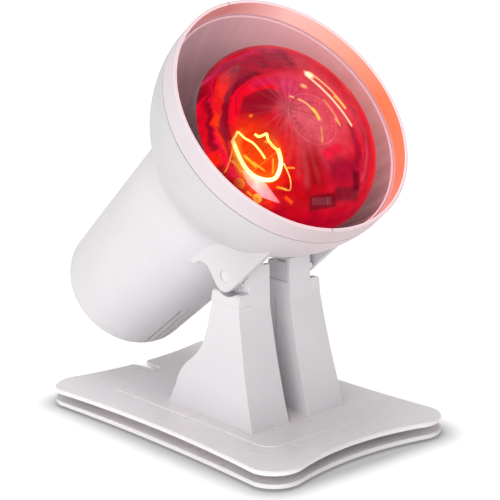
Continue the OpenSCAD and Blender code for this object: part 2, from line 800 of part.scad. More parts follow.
module lamp_holder() {
    color([0.93, 0.92, 0.9]) in_lamp() rotate_extrude()
        polygon([[cap_r + 0.3, holder_front], [holder_r - 1, holder_front], [holder_r, holder_front - 1],
                 [holder_r, holder_step], [holder_stem_r, holder_step - 4], [holder_stem_r, holder_back],
                 [0, holder_back], [0, holder_step], [cap_r + 0.3, holder_step]]);
}

module holder_contact() {
    color([0.8, 0.68, 0.35]) in_lamp() translate([0, 0, holder_step]) {
        cylinder(r = 4, h = 1);
        cylinder(r = 1.8, h = 2.55);
    }
}

module holder_bracket() {
    color([0.75, 0.75, 0.77]) in_lamp() translate([0, 0, bracket_t - bracket_thick]) difference() {
        linear_extrude(bracket_thick) {
            circle(holder_r - 2);
            square([2 * (boss_x + boss_r + 1), 3 * boss_r], center = true);
        }
        for (s = [-1, 1]) translate([s * boss_x, 0, -1]) cylinder(r = 1.7, h = 4);
    }
}

bracket_screw_l = 9;
bracket_screw_r = 1.1;
bracket_head_r = 2.8;
bracket_head_h = 1.6;

module bracket_screws() {
    color([0.7, 0.7, 0.72]) for (s = [-1, 1]) in_lamp() translate([s * boss_x, 0, bracket_t]) {
        translate([0, 0, -bracket_screw_l]) cylinder(r = bracket_screw_r, h = bracket_screw_l + eps);
        cylinder(r = bracket_head_r, h = bracket_head_h);
    }
}

block_w = 18;
block_l = 10;
block_h = 12;
wire_hole_r = 1.6;
wire_hole_h = 4.5;
clamp_hole_r = 1.8;

module terminal_block() {
    block_t = bracket_t - bracket_thick - block_h;
    color([0.95, 0.95, 0.94]) in_lamp() translate([0, 0, block_t]) difference() {
        translate([-block_w / 2, -block_l / 2, 0]) cube([block_w, block_l, block_h]);
        for (s = [-1, 1]) translate([s * block_w / 4, 0, -eps]) {
            cylinder(r = wire_hole_r, h = wire_hole_h);
            translate([0, 0, wire_hole_h + 1]) rotate([-90, 0, 0])
                cylinder(r = clamp_hole_r, h = block_l);
        }
    }
}

gland_bore = 3.2;

module cord_gland() {
    color([0.85, 0.83, 0.85]) in_head() difference() {
        translate([0, 0, -head_l - 2]) {
            cylinder(r = 8, h = 2);
            cylinder(r = gland_r, h = 6);
        }
        translate([0, 0, -head_l - 3]) cylinder(r = gland_bore, h = 12);
    }
}

base_lower_plate();
base_core();
base_upper_plate();
ballast_plate();
rubber_feet();
base_screws();
post_panel();
left_post();
right_post();
left_shoulder_cap();
right_shoulder_cap();
post_screws();
detent_rings();
rear_housing();
front_ring();
inner_shade();
left_pivot_pin();
right_pivot_pin();
friction_washers();
bulb_face();
bulb_reflector();
bulb_screw_cap();
bulb_contact();
bulb_stem();
filament();
lamp_holder();
holder_contact();
holder_bracket();
bracket_screws();
terminal_block();
cord_gland();
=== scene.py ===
"""Infrared heat therapy lamp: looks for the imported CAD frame, in metres, with the mouth towards -Y."""

import math

import bmesh
import bpy
from mathutils import Matrix, Vector


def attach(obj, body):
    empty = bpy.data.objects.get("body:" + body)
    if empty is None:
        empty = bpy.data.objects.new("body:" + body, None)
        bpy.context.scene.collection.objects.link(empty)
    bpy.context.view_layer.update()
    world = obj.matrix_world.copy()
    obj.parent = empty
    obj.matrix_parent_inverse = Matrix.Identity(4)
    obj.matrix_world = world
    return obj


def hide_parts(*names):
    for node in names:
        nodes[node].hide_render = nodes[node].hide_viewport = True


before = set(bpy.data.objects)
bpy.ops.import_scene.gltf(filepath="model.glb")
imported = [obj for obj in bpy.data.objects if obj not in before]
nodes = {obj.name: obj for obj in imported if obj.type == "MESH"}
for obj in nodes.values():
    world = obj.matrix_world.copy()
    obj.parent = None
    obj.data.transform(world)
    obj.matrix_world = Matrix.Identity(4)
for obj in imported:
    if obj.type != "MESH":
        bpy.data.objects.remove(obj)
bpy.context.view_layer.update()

# ---------------------------------------------------------------- moulded shell
# The posts, their caps, the pins and the ridged rings are injection moulded in
# satin white plastic. The mould leaves a fine grain, and their edges are
# slightly rounded. On the posts and caps a painted highlight lightens the rounded edges.


class Wire:
    """One output of a shader tree. Sums on it add the tree's Math nodes."""

    def __init__(self, tree, socket):
        self.tree, self.socket = tree, socket

    def node(self, kind, inputs=(), out=0, stops=None, **settings):
        """A new node with its settings and its inputs' values or wires; returns one output."""
        made = self.tree.nodes.new(kind)
        for key, value in settings.items():
            setattr(made, key, value)
        if stops:
            ramp = made.color_ramp
            for spare in list(ramp.elements)[2:]:
                ramp.elements.remove(spare)
            while len(ramp.elements) < len(stops):
                ramp.elements.new(0.5)
            for stop, (place, colour) in zip(ramp.elements, stops):
                stop.position = place
                stop.color = (*colour, 1.0)
        for key, value in dict(inputs).items():
            self.feed(made.inputs[key], value)
        return Wire(self.tree, made.outputs[out])

    def feed(self, socket, value):
        if isinstance(value, Wire):
            self.tree.links.new(value.socket, socket)
        elif socket.type == "RGBA" and len(value) == 3:
            socket.default_value = (*value, 1.0)
        else:
            socket.default_value = value

    def maths(self, operation, *others):
        """A Math node with this value first."""
        return self.node("ShaderNodeMath", dict(enumerate((self, *others))), operation=operation)

    def __add__(self, other):
        return self.maths("ADD", other)

    def __sub__(self, other):
        return self.maths("SUBTRACT", other)

    def __mul__(self, other):
        return self.maths("MULTIPLY", other)

    def __truediv__(self, other):
        return self.maths("DIVIDE", other)

    def __pow__(self, other):
        return self.maths("POWER", other)

    def __abs__(self):
        return self.maths("ABSOLUTE")

    def highest(self, other):
        return self.maths("MAXIMUM", other)

    def lowest(self, other):
        return self.maths("MINIMUM", other)

    def parts(self):
        """Wires of a vector's three numbers."""
        made = self.node("ShaderNodeSeparateXYZ", {"Vector": self}).socket.node
        return [Wire(self.tree, made.outputs[i]) for i in range(3)]

    def noise(self, scale, detail=2.0, **more):
        return self.node("ShaderNodeTexNoise", {"Vector": self, "Scale": scale, "Detail": detail, **more})

    def ramp(self, *stops):
        """A colour that this value picks: each stop is a place from 0 to 1 and a colour."""
        return self.node("ShaderNodeValToRGB", {"Fac": self}, stops=stops)

    def between(self, low, high, to_low=0.0, to_high=1.0):
        """0 at the first value and 1 at the second, or two other ends, and held beyond them."""
        inputs = {"Value": self, "From Min": low, "From Max": high, "To Min": to_low, "To Max": to_high}
        return self.node("ShaderNodeMapRange", inputs)

    def mix(self, first, second):
        """Two colours mixed, with this value as the factor."""
        made = self.node("ShaderNodeMix", data_type="RGBA").socket.node
        self.feed(made.inputs[0], self)
        self.feed(made.inputs[6], first)
        self.feed(made.inputs[7], second)
        return Wire(self.tree, made.outputs[2])


def finish_for(name, **constants):
    """A new material: returns it, its surface shader and the wire of its coordinates."""
    made = bpy.data.materials.new(name)
    made.use_nodes = True
    tree = made.node_tree
    surface = tree.nodes["Principled BSDF"]
    for key, value in constants.items():
        socket = surface.inputs[key.replace("_", " ")]
        socket.default_value = (*value, 1.0) if socket.type == "RGBA" and len(value) == 3 else value
    return made, surface, Wire(tree, None).node("ShaderNodeTexCoord", out="Object")


def give(surface, **links):
    """Feeds wires to the named inputs of a surface shader."""
    for key, wire in links.items():
        wire.tree.links.new(wire.socket, surface.inputs[key.replace("_", " ")])


def moulded(name, colour, rough, grain=1.0, edge=0.00045, edge_highlight=0.0):
    """Satin plastic: clouded very slightly, with a mould grain and rounded edges that can get a painted
    highlight.
    """
    made, surface, at = finish_for(name, Specular_IOR_Level=0.42)
    cloud = at.noise(28.0, 3.0).between(0.35, 0.65)
    paint = cloud.mix(tuple(c * 0.955 for c in colour), colour)
    bump = at.node("ShaderNodeBump", {"Height": at.noise(2600.0, 2.0), "Strength": 0.05 * grain,
                                      "Distance": 0.0002})
    if edge:
        rounded = at.node("ShaderNodeBevel", {"Radius": edge}, samples=6)
        flat_side = at.node("ShaderNodeNewGeometry", out="True Normal")
        turned = rounded.node("ShaderNodeVectorMath", {0: rounded, 1: flat_side}, out="Value",
                              operation="DOT_PRODUCT")
        # Painted highlight: near the rounded edges the colour turns towards near white.
        paint = turned.between(0.995, 0.88, 0.0, edge_highlight).mix(paint, (0.97, 0.94, 0.96))
        bump.feed(bump.socket.node.inputs["Normal"], rounded)
    give(surface, Base_Color=paint, Normal=bump,
         Roughness=at.noise(90.0, 2.0).between(0.3, 0.7, rough - 0.05, rough + 0.06))
    return made, surface, at, paint


def dress(names, material):
    """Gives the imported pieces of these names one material."""
    for name in names:
        piece = nodes[name]
        piece.data.materials.clear()
        piece.data.materials.append(material)


body_white = (0.69, 0.663, 0.683)
shell_white = moulded("satin_white_plastic", body_white, 0.45, edge_highlight=0.35)[0]
dress(["left_post", "right_post", "left_shoulder_cap", "right_shoulder_cap"], shell_white)
fine_white = moulded("satin_white_fine", body_white, 0.5, edge=0.00012)[0]
dress(["detent_rings", "left_pivot_pin", "right_pivot_pin"], fine_white)

# ---------------------------------------------------------------- base plates
# The two plates and the raised panel are moulded in the same white plastic, a
# little glossier. Their edges and the panel's outline are painted lighter, a painted highlight where they
# catch the light.
base_back = 0.013155


def past_outline(x, y, half_x, half_y, corner):
    """Wire of the distance past the outline of a rectangle with round corners, in metres."""
    past_x = (abs(x) - (half_x - corner)).highest(0.0)
    past_y = (abs(y) - (half_y - corner)).highest(0.0)
    return (past_x * past_x + past_y * past_y) ** 0.5 - corner


plate_colour, painted_edge_light = (0.79, 0.753, 0.775), (0.86, 0.835, 0.845)
plate_white, surface, at, paint = moulded("plate_white_plastic", plate_colour, 0.3, grain=0.0, edge=0.0)
plate_x, plate_y, height = at.parts()
upright = at.node("ShaderNodeNewGeometry", out="True Normal").parts()[2]
plate_bottom, plate_top = 0.0011, 0.0095
# Painted highlight on the plates' side walls and along the panel's outline.
rim_light = abs(upright).between(0.93, 0.72) * (height - plate_bottom).between(0.0, 0.0006)
panel_half_x, panel_half_y, panel_corner = 0.0368, 0.0617, 0.008
panel_edge = past_outline(plate_x, plate_y + base_back, panel_half_x, panel_half_y, panel_corner)
panel_outline_light = abs(panel_edge).between(0.0007, 0.0003) * height.between(plate_top - 0.0005, plate_top)
rim_light = rim_light.highest(panel_outline_light * 0.8)
give(surface, Base_Color=(rim_light * 0.9).mix(paint, painted_edge_light))
dress(["base_lower_plate", "base_upper_plate", "post_panel"], plate_white)
core_white = moulded("core_white_plastic", (0.66, 0.605, 0.60), 0.4)[0]
dress(["base_core"], core_white)

# ---------------------------------------------------------------- feet and weight
# Four feet moulded in soft dark rubber lie in recesses under the base, and a
# plate of rolled steel inside it weighs it down.
rubber, surface, at = finish_for("dark_foot_rubber", Base_Color=(0.035, 0.035, 0.038),
                                 Specular_IOR_Level=0.3)
give(surface, Roughness=at.noise(300.0).between(0.3, 0.7, 0.7, 0.85))
dress(["rubber_feet"], rubber)

rolled_steel, surface, at = finish_for("rolled_steel", Metallic=0.8)
rolled = at.noise(60.0, 6.0)
give(surface, Base_Color=rolled.between(0.3, 0.7).mix((0.13, 0.13, 0.14), (0.2, 0.2, 0.215)),
     Roughness=rolled.between(0.3, 0.7, 0.45, 0.6))
dress(["ballast_plate"], rolled_steel)

# ---------------------------------------------------------------- screws and holder metal
# The screws, the spring washers and the holder's bracket are zinc-plated steel,
# bright and slightly clouded.
zinc, surface, at = finish_for("zinc_plate", Metallic=1.0)
spangle = at.noise(180.0, 3.0)
give(surface, Base_Color=spangle.between(0.3, 0.7).mix((0.55, 0.55, 0.57), (0.68, 0.68, 0.71)),
     Roughness=spangle.between(0.3, 0.7, 0.28, 0.42))
dress(["base_screws", "post_screws", "bracket_screws", "holder_bracket", "friction_washers"], zinc)

# ---------------------------------------------------------------- lamp holder
# A glazed ceramic screw holder with a brass contact, and a block of the same
# ceramic for the wires behind it.
ceramic, surface, at = finish_for("glazed_ceramic", Coat_Weight=0.4, Coat_Roughness=0.1)
glaze = at.noise(50.0, 3.0)
give(surface, Base_Color=glaze.between(0.3, 0.7).mix((0.78, 0.76, 0.71), (0.85, 0.83, 0.79)),
     Roughness=glaze.between(0.3, 0.7, 0.2, 0.3))
dress(["lamp_holder", "terminal_block"], ceramic)

brass, surface, at = finish_for("plain_brass", Metallic=1.0)
tarnish = at.noise(120.0, 4.0)
give(surface, Base_Color=tarnish.between(0.3, 0.7).mix((0.5, 0.36, 0.15), (0.7, 0.55, 0.27)),
     Roughness=tarnish.between(0.3, 0.7, 0.25, 0.4))
dress(["bulb_screw_cap", "bulb_contact", "holder_contact"], brass)

# ---------------------------------------------------------------- cord bush
# A bush moulded in soft light grey rubber sits in the middle of the head's rear
# end, where a cord goes in.
bush, surface, at = finish_for("light_bush_rubber", Specular_IOR_Level=0.35)
cloud = at.noise(200.0)
give(surface, Base_Color=cloud.between(0.3, 0.7).mix((0.5, 0.48, 0.5), (0.56, 0.54, 0.56)),
     Roughness=cloud.between(0.3, 0.7, 0.55, 0.7))
dress(["cord_gland"], bush)

# ---------------------------------------------------------------- front ring
# The ring round the mouth is thinner white plastic. The red light that comes through it is painted into its
# colour, pinker and darker low down and on the rim, and its inner wall carries painted light and glow where
# the bulb shines on it.
rise = math.radians(39.5)
out_of_mouth = Vector((0.0, -math.cos(rise), math.sin(rise)))
up_the_head = Vector((0.0, math.sin(rise), math.cos(rise)))
rim_middle = Vector((0.0, -0.033155, 0.0815)) + 0.0654 * out_of_mouth + 0.0459 * up_the_head


def head_place(at, middle, lean):
    """Wires of a place in millimetres: all of it, then across the head, up it and out of its mouth."""
    turned = at.node("ShaderNodeMapping", {"Vector": at, "Location": middle, "Rotation": (lean, 0.0, 0.0),
                                           "Scale": (0.001, 0.001, 0.001)}, vector_type="TEXTURE")
    return turned, *turned.parts()


def polar(x, n):
    """Wires of the distance from the axis and of the angle round it, in radians."""
    return (x * x + n * n) ** 0.5, n.maths("ARCTAN2", x)


def along(angle, *stops, low=-math.pi, high=math.pi):
    """A colour that changes with the angle: each stop is an angle in degrees and a colour."""
    places = [((math.radians(a) - low) / (high - low), colour) for a, colour in stops]
    return angle.between(low, high).ramp(*places)


ring_plastic, surface, at = finish_for("lit_ring_plastic", Specular_IOR_Level=0.4, Emission_Strength=0.3)
_, x, n, t = head_place(at, rim_middle, math.pi / 2 - rise)
rho, phi = polar(x, n)
# Painted light: the outer wall is pinker and darker low down; the inner wall's colour and glow are painted
# light from the bulb, brightest orange at the right.
outside = along(phi, (-150, (0.62, 0.55, 0.58)), (-100, (0.58, 0.47, 0.49)), (-60, (0.58, 0.42, 0.44)),
                (-20, (0.68, 0.55, 0.58)), (100, (0.68, 0.60, 0.63)), (160, (0.63, 0.57, 0.60)))
inside = along(phi, (-75, (0.80, 0.30, 0.26)), (-40, (0.98, 0.22, 0.12)), (0, (0.98, 0.24, 0.11)),
               (35, (0.97, 0.45, 0.34)), (60, (0.93, 0.56, 0.52)), (92, (0.62, 0.22, 0.21)),
               (150, (0.60, 0.30, 0.30)))
rim_edge = t.between(-0.5, -0.35)
wall_r = 61.4
wall = rho.between(wall_r, wall_r - 0.4)


def gate_mark(angle, half):
    """1 on the short mark that the mould's gate leaves across the rim."""
    return abs(phi - math.radians(angle)).between(half, 0.5 * half)


gates = gate_mark(95.0, 0.012).highest(gate_mark(-102.1, 0.010))
# The rim's pink is painted red light through the plastic; the gate marks are the rim's own.
rim_red_light, gate_grey = (0.80, 0.61, 0.64), (0.40, 0.27, 0.29)
paint = rim_edge.mix(wall.mix(outside, inside), (gates * 0.7).mix(rim_red_light, gate_grey))
give(surface, Base_Color=paint, Emission_Color=wall.mix((0.0, 0.0, 0.0), paint),
     Roughness=at.noise(90.0).between(0.3, 0.7, 0.38, 0.5))
dress(["front_ring"], ring_plastic)

# ---------------------------------------------------------------- heat shield
# A matte grey shield lines the bell. Its colour and glow are painted light and shade: pink near the bulb's
# bright side, painted shadow low on the other side and towards the rear.
shield, surface, at = finish_for("shield_grey", Specular_IOR_Level=0.25, Emission_Strength=0.32)
_, x, n, t = head_place(at, rim_middle, math.pi / 2 - rise)
_, phi = polar(x, n)


def shield_paint(phi, t):
    """The shield's painted light and shade: it changes round the head, with pale painted rays, and painted
    shade darkens it towards the rear.
    """
    # Painted light: pale rays of light round the head.
    painted_rays = (phi * 5.0).noise(1.0, 3.0).between(0.3, 0.7, 0.0, 0.28)
    front = along(phi, (-70, (0.22, 0.09, 0.10)), (-30, (0.42, 0.17, 0.18)), (10, (0.72, 0.30, 0.29)),
                  (40, (0.70, 0.33, 0.34)), (62, (0.66, 0.36, 0.39)), (85, (0.56, 0.33, 0.37)),
                  (110, (0.50, 0.31, 0.35)), (135, (0.36, 0.24, 0.26)), (160, (0.165, 0.10, 0.10)))
    lit = painted_rays.mix(front, (0.80, 0.52, 0.54))
    return t.between(-24.0, -44.0, 0.0, 0.5).mix(lit, (0.16, 0.06, 0.065))


# Painted light: the shield's lip, and the bell's tongue behind it, are painted a pale lit pink that covers
# the shade in the gap at the ring.
painted_lip_light, lip_t = (0.74, 0.50, 0.54), -10.5
paint = t.between(lip_t, lip_t + 0.6).mix(shield_paint(phi, t), painted_lip_light)
give(surface, Base_Color=paint, Emission_Color=paint,
     Roughness=at.noise(200.0).between(0.3, 0.7, 0.6, 0.75))
dress(["inner_shade"], shield)

# ---------------------------------------------------------------- rear housing
# The bell and barrel are one moulding in the same white as the posts, with
# painted shade that makes the bell a little greyer. A painted red glow makes it pink low near the seam, its
# inside carries the shield's painted light and shade, the tongue under the ring the lip's painted light,
# and behind each ear's pin a thin dark crescent is painted shade, as in a gap round the pin's head.
housing, surface, at, paint = moulded("housing_white_plastic", body_white, 0.45)
_, x, n, t = head_place(at, rim_middle, math.pi / 2 - rise)
rho, phi = polar(x, n)
# Painted shade: the bell is greyer than the barrel.
bell_painted_shade = tuple(0.80 * c for c in body_white)
barrel_t, bell_t = -78.0, -42.0
paint = t.between(barrel_t, bell_t, 0.10, 0.92).mix(paint, bell_painted_shade)
# Painted red glow from the bulb, low on the head near the seam.
painted_red_glow = phi.between(-2.3, -1.5) * phi.between(0.6, -0.3) * t.between(-40.0, -14.0)
paint = (painted_red_glow * 0.55).mix(paint, (0.70, 0.44, 0.47))
bell_middle, bell_depth, bell_inside = 11.4, -5.58, 72.9
sweep = (rho + bell_middle) * (rho + bell_middle) + (t - bell_depth) * (t - bell_depth)
seam, seam_end, tongue_r = -12.4, -12.8, 61.35
# Painted light and shade: inside the bell the colour and glow are the shield's painted ones.
inside = sweep.between(bell_inside ** 2, (bell_inside - 0.3) ** 2) * t.between(seam, seam_end)
tongue = rho.between(tongue_r, tongue_r - 0.1) * t.between(seam_end, seam)
# Painted shade: a thin dark crescent on the rear side of each pin, as in a gap round the pin's head.
pin_t, pin_n, pin_r, ear_x = -65.4, -45.9, 3.1, 24.0
from_pin = ((t - pin_t) * (t - pin_t) + (n - pin_n) * (n - pin_n)) ** 0.5
behind_pin = (t * 0.77 - n * 0.64).between(-22.6, -23.6)
pin_gap_shade = abs(from_pin - pin_r).between(0.35, 0.15) * behind_pin * abs(x).between(ear_x, ear_x + 1.0)
paint = (pin_gap_shade * 0.6).mix(paint, (0.25, 0.22, 0.24))
paint = tongue.mix(inside.mix(paint, shield_paint(phi, t)), painted_lip_light)
give(surface, Base_Color=paint, Emission_Color=(inside * 0.32).mix((0.0, 0.0, 0.0), paint))
surface.inputs["Emission Strength"].default_value = 1.0
dress(["rear_housing"], housing)

# ---------------------------------------------------------------- bulb bowl
# Blown glass, silvered inside. From outside it is a dull mirror; the lining is
# the silvering, with the filament's red light and its reflections painted into its colour and glow, and
# painted dark streaks that run to the neck.
droop = math.radians(3.4)
socket_back = 0.117
lamp_out = Matrix.Rotation(droop, 3, "X") @ out_of_mouth
lamp_up = Matrix.Rotation(droop, 3, "X") @ up_the_head
lamp_middle = rim_middle + socket_back * (lamp_out - out_of_mouth)
lamp_lean = math.pi / 2 - rise + droop


def lamp_point(x, n, t):
    """Where a point of the lamp lies in the frame; the lamp's own lengths are in millimetres."""
    return lamp_middle + 0.001 * (x * Vector((1.0, 0.0, 0.0)) + n * lamp_up + t * lamp_out)


def new_piece(name, places, faces, material, slot, replaced=()):
    """A smooth mesh from points of the lamp in millimetres; it rides on the head."""
    mesh = bpy.data.meshes.new(name)
    mesh.from_pydata([lamp_point(*p) for p in places], [], faces)
    mesh.materials.append(material)
    mesh.shade_smooth()
    made = bpy.data.objects.new(name, mesh)
    bpy.context.scene.collection.objects.link(made)
    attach(made, "head")
    if replaced:
        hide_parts(*replaced)
    return made


def turned_mesh(outline, around):
    """Points and faces of an outline of (radius, place) turned about the lamp's axis."""
    points = [(r * math.cos(2 * math.pi * i / around), r * math.sin(2 * math.pi * i / around), t)
              for r, t in outline for i in range(around)]
    faces = [(k * around + i, k * around + (i + 1) % around, (k + 1) * around + (i + 1) % around,
              (k + 1) * around + i) for k in range(len(outline) - 1) for i in range(around)]
    return points, faces


silver, surface, at = finish_for("silvered_glass", Metallic=0.9)
give(surface, Base_Color=at.noise(80.0).between(0.3, 0.7).mix((0.55, 0.53, 0.54), (0.7, 0.68, 0.7)),
     Roughness=at.noise(40.0).between(0.3, 0.7, 0.2, 0.35))
dress(["bulb_reflector"], silver)

lining, surface, at = finish_for("lit_silvering", Roughness=0.35, Emission_Strength=0.9)
flat, x, n, _ = head_place(at, lamp_middle, lamp_lean)
rho, _ = polar(x, n)
flat = flat.node("ShaderNodeVectorMath", {0: flat, 1: (1.0, 1.0, 0.0)}, operation="MULTIPLY")
streaks = flat.node("ShaderNodeVectorMath", {0: flat}, operation="NORMALIZE").noise(9.0, 4.0)
# Painted light: the lining is brightest orange near the neck and darker towards the rim, with painted dark
# streaks.
depth = rho.between(14.0, 48.0).ramp((0.0, (1.0, 0.30, 0.02)), (0.18, (0.95, 0.14, 0.006)),
                                     (0.36, (0.80, 0.02, 0.0)), (0.62, (0.50, 0.003, 0.005)),
                                     (0.86, (0.32, 0.001, 0.008)), (0.95, (0.60, 0.01, 0.03)),
                                     (1.0, (0.2, 0.0, 0.01)))
paint = streaks.between(0.35, 0.6, 0.6, 0.0).mix(depth, (0.12, 0.0, 0.004))
give(surface, Base_Color=paint, Emission_Color=paint)
bulb_r, widest, bowl_bend, bowl_steep, skin = 47.5, -13.5, 72.0, math.radians(33.0), 1.3
bend = [(bulb_r - bowl_bend + (bowl_bend - skin) * math.cos(bowl_steep * i / 24),
         widest - (bowl_bend - skin) * math.sin(bowl_steep * i / 24)) for i in range(25)]
neck, neck_back = 16.0 - skin, -93.0
cone_back = bend[-1][1] - (bend[-1][0] - neck) / math.tan(bowl_steep)
points, faces = turned_mesh(bend + [(neck, cone_back), (neck, neck_back)], 96)
new_piece("bulb_silvering", points, faces, lining, "silvered_glass")

# ---------------------------------------------------------------- filament
# A coiled tungsten wire bent into an open arc on three wires that stand on the
# glass stem, with a bright shield plate and two glass beads beside it. The plate's brightness and the glow
# of the beads and the stem are painted light from the filament.


def bent_tube(path, radius, sides=8):
    """Points and faces of a round tube along a path of points."""
    points, faces, side = [], [], Vector((0.31, 0.17, 0.94))
    for i, place in enumerate(path):
        ahead = (Vector(path[min(i + 1, len(path) - 1)]) - Vector(path[max(i - 1, 0)])).normalized()
        side = (side - ahead * side.dot(ahead)).normalized()
        across = ahead.cross(side)
        points += [Vector(place) + radius * (math.cos(a) * side + math.sin(a) * across)
                   for a in (2 * math.pi * k / sides for k in range(sides))]
    for i in range(len(path) - 1):
        faces += [(i * sides + k, i * sides + (k + 1) % sides, (i + 1) * sides + (k + 1) % sides,
                   (i + 1) * sides + k) for k in range(sides)]
    faces += [tuple(range(sides))[::-1], tuple((len(path) - 1) * sides + k for k in range(sides))]
    return points, faces


def joined(*parts):
    """Several (points, faces) put together."""
    points, faces = [], []
    for more, sides in parts:
        faces += [tuple(i + len(points) for i in face) for face in sides]
        points += list(more)
    return points, faces


def smooth_path(knots, per=8):
    """A curve through the knots."""
    ends = [Vector(knots[0])] + [Vector(k) for k in knots] + [Vector(knots[-1])]
    path = []
    for a, b, c, d in zip(ends, ends[1:], ends[2:], ends[3:]):
        for i in range(per):
            s = i / per
            path.append(0.5 * ((2 * b) + (c - a) * s + (2 * a - 5 * b + 4 * c - d) * s * s
                               + (3 * b - a - 3 * c + d) * s ** 3))
    return path + [ends[-1]]


def glowing(name, colour, strength):
    """A hot wire or lit glass, with light that varies a little along it."""
    made, surface, at = finish_for(name, Base_Color=(0.1, 0.08, 0.05), Emission_Strength=strength)
    dimmer = tuple(0.86 * c for c in colour)
    give(surface, Emission_Color=at.noise(900.0).between(0.3, 0.7).mix(dimmer, colour))
    return made


white_hot = glowing("white_hot_tungsten", (1.0, 0.86, 0.50), 6.0)
yellow_hot = glowing("yellow_hot_tungsten", (1.0, 0.66, 0.16), 3.8)
orange_hot = glowing("orange_lit_glass", (1.0, 0.42, 0.03), 2.2)
dim_hot = glowing("dim_support_wire", (0.95, 0.20, 0.01), 1.3)
hot_t = -36.0
arc = smooth_path([(x, n, hot_t) for x, n in [
    (-10.1, 13.2), (-10.5, 8.3), (-10.5, 2.0), (-9.2, -3.6), (-6.1, -7.4), (-1.0, -9.8), (4.4, -9.7),
    (9.0, -6.2), (12.2, -1.9), (13.3, 2.1), (13.5, 4.4)]], 12)
coil, coil_r, steps = [], 0.9, 10
out = Vector((0.0, 0.0, 1.0))
for place, after in zip(arc, arc[1:]):
    step = after - place
    across = Vector((-step.y, step.x, 0.0)).normalized()
    for i in range(steps):
        spin = 2 * math.pi * i / steps
        coil.append(place + step * (i / steps) + coil_r * (math.cos(spin) * across + math.sin(spin) * out))
new_piece("filament_core", *bent_tube(arc, 0.95), white_hot, "filament_wire", ["filament"])
new_piece("filament_coil", *bent_tube(coil, 0.14, 5), yellow_hot, "filament_wire")
tail_and_reflection_tubes = []
# The first line is no wire: it is a painted reflection, built as a glowing tube. The second continues the
# coil.
for tail_t, thick, knots in [
        (hot_t, 0.5, [(-9.8, 13.4), (-7.0, 15.1), (-4.9, 16.6), (-2.6, 13.0), (0.9, 9.7), (2.8, 5.2),
                      (3.7, 0.9)]),
        (hot_t - 1.0, 0.65, [(5.2, 14.5), (6.5, 12.9), (9.2, 13.0), (12.1, 13.4), (11.4, 10.8),
                             (11.9, 7.9), (13.5, 4.9)])]:
    tail_and_reflection_tubes.append(bent_tube(smooth_path([(x, n, tail_t) for x, n in knots], 6), thick))
new_piece("filament_tail_and_reflection", *joined(*tail_and_reflection_tubes), yellow_hot, "filament_wire")
foot_r, stem_t, bend_t = 2.8, -56.0, -53.0
supports = []
for top_x, top_n in ((-9.8, 13.0), (-3.5, -9.0), (13.4, 3.6)):
    way = Vector((top_x, top_n - 4.0)).normalized() * foot_r
    stand = [(way.x, way.y, stem_t), (way.x, way.y, bend_t), (top_x, top_n, hot_t - 0.8)]
    supports.append(bent_tube(stand, 0.22))
new_piece("filament_supports", *joined(*supports), dim_hot, "filament_wire")
loop = smooth_path([(x, n, hot_t) for x, n in [(13.2, -3.4), (12.9, -11.2), (9.7, -17.1), (5.6, -15.3)]], 5)
new_piece("filament_loop", *bent_tube(loop, 0.3), yellow_hot, "filament_wire")


def bead(x, n, t, big, thick):
    """A torus that faces out of the mouth."""
    turns = [math.pi * k / 12 for k in range(25)]
    ring = [(x + big * math.cos(a), n + big * math.sin(a), t) for a in turns]
    return bent_tube(ring, thick, 8)


# The beads are no lamps: their orange glow is painted light from the filament.
bead_t = -37.0
bridge = bent_tube([(-14.5, -13.0, bead_t), (-12.6, -15.6, bead_t)], 0.5)
beads = joined(bead(-16.3, -8.2, bead_t, 1.75, 1.05), bead(-10.4, -17.5, bead_t, 1.5, 0.9), bridge)
new_piece("glass_beads", *beads, orange_hot, "clear_glass")
# The shield plate is no lamp: its pink glow is painted light from the filament.
tab_pink, surface, at = finish_for("shield_tab", Roughness=0.4, Emission_Strength=1.5)
cloud = at.noise(400.0).between(0.3, 0.7)
give(surface, Base_Color=cloud.mix((0.8, 0.3, 0.34), (0.9, 0.4, 0.44)),
     Emission_Color=cloud.mix((0.88, 0.36, 0.40), (0.98, 0.46, 0.50)))
tab = [(-10.6, -1.5), (-0.9, -10.1), (2.7, -22.0), (-6.0, -17.0), (-10.9, -9.0)]
points = [(x, n, t) for t in (-38.4, -38.0) for x, n in tab]
faces = [(4, 3, 2, 1, 0), (5, 6, 7, 8, 9)] + [(i, (i + 1) % 5, (i + 1) % 5 + 5, i + 5) for i in range(5)]
new_piece("shield_plate", points, faces, tab_pink, "zinc_steel").data.shade_flat()

# The stem is no lamp: its orange glow is painted light from the filament.
stem_glass, surface, at = finish_for("stem_glass", Emission_Strength=0.5, Roughness=0.15)
cloud = at.noise(200.0).between(0.3, 0.7)
give(surface, Base_Color=cloud.mix((0.6, 0.12, 0.05), (0.75, 0.2, 0.08)),
     Emission_Color=cloud.mix((0.8, 0.1, 0.01), (0.95, 0.25, 0.02)))
dress(["bulb_stem"], stem_glass)

# ---------------------------------------------------------------- bulb face
# The face is a dome of deep red glass with a thick rounded edge. The filament
# shows through it; the bands of light from the silvering, the glow round the filament and its reflections
# are painted light on the glass, and an etched ring is marked on it.
red_glass, surface, at = finish_for("red_filter_glass", Base_Color=(0.03, 0.0, 0.002),
                                    Emission_Strength=1.0, Specular_IOR_Level=0.04)
flat, x, n, _ = head_place(at, lamp_middle, lamp_lean)
rho, phi = polar(x, n)
plane = flat.node("ShaderNodeVectorMath", {0: flat, 1: (1.0, 1.0, 0.0)}, operation="MULTIPLY")
ripple = plane.node("ShaderNodeTexNoise", {"Vector": plane, "Scale": 0.10, "Detail": 2.2}, out="Color")
sway = 5.0
moved = plane.node("ShaderNodeVectorMath", {0: ripple, 1: (sway, sway, 0.0), 2: plane},
                   operation="MULTIPLY_ADD")
swayed = plane.node("ShaderNodeVectorMath", {0: moved, 1: (sway / 2, sway / 2, 0.0)}, operation="SUBTRACT")


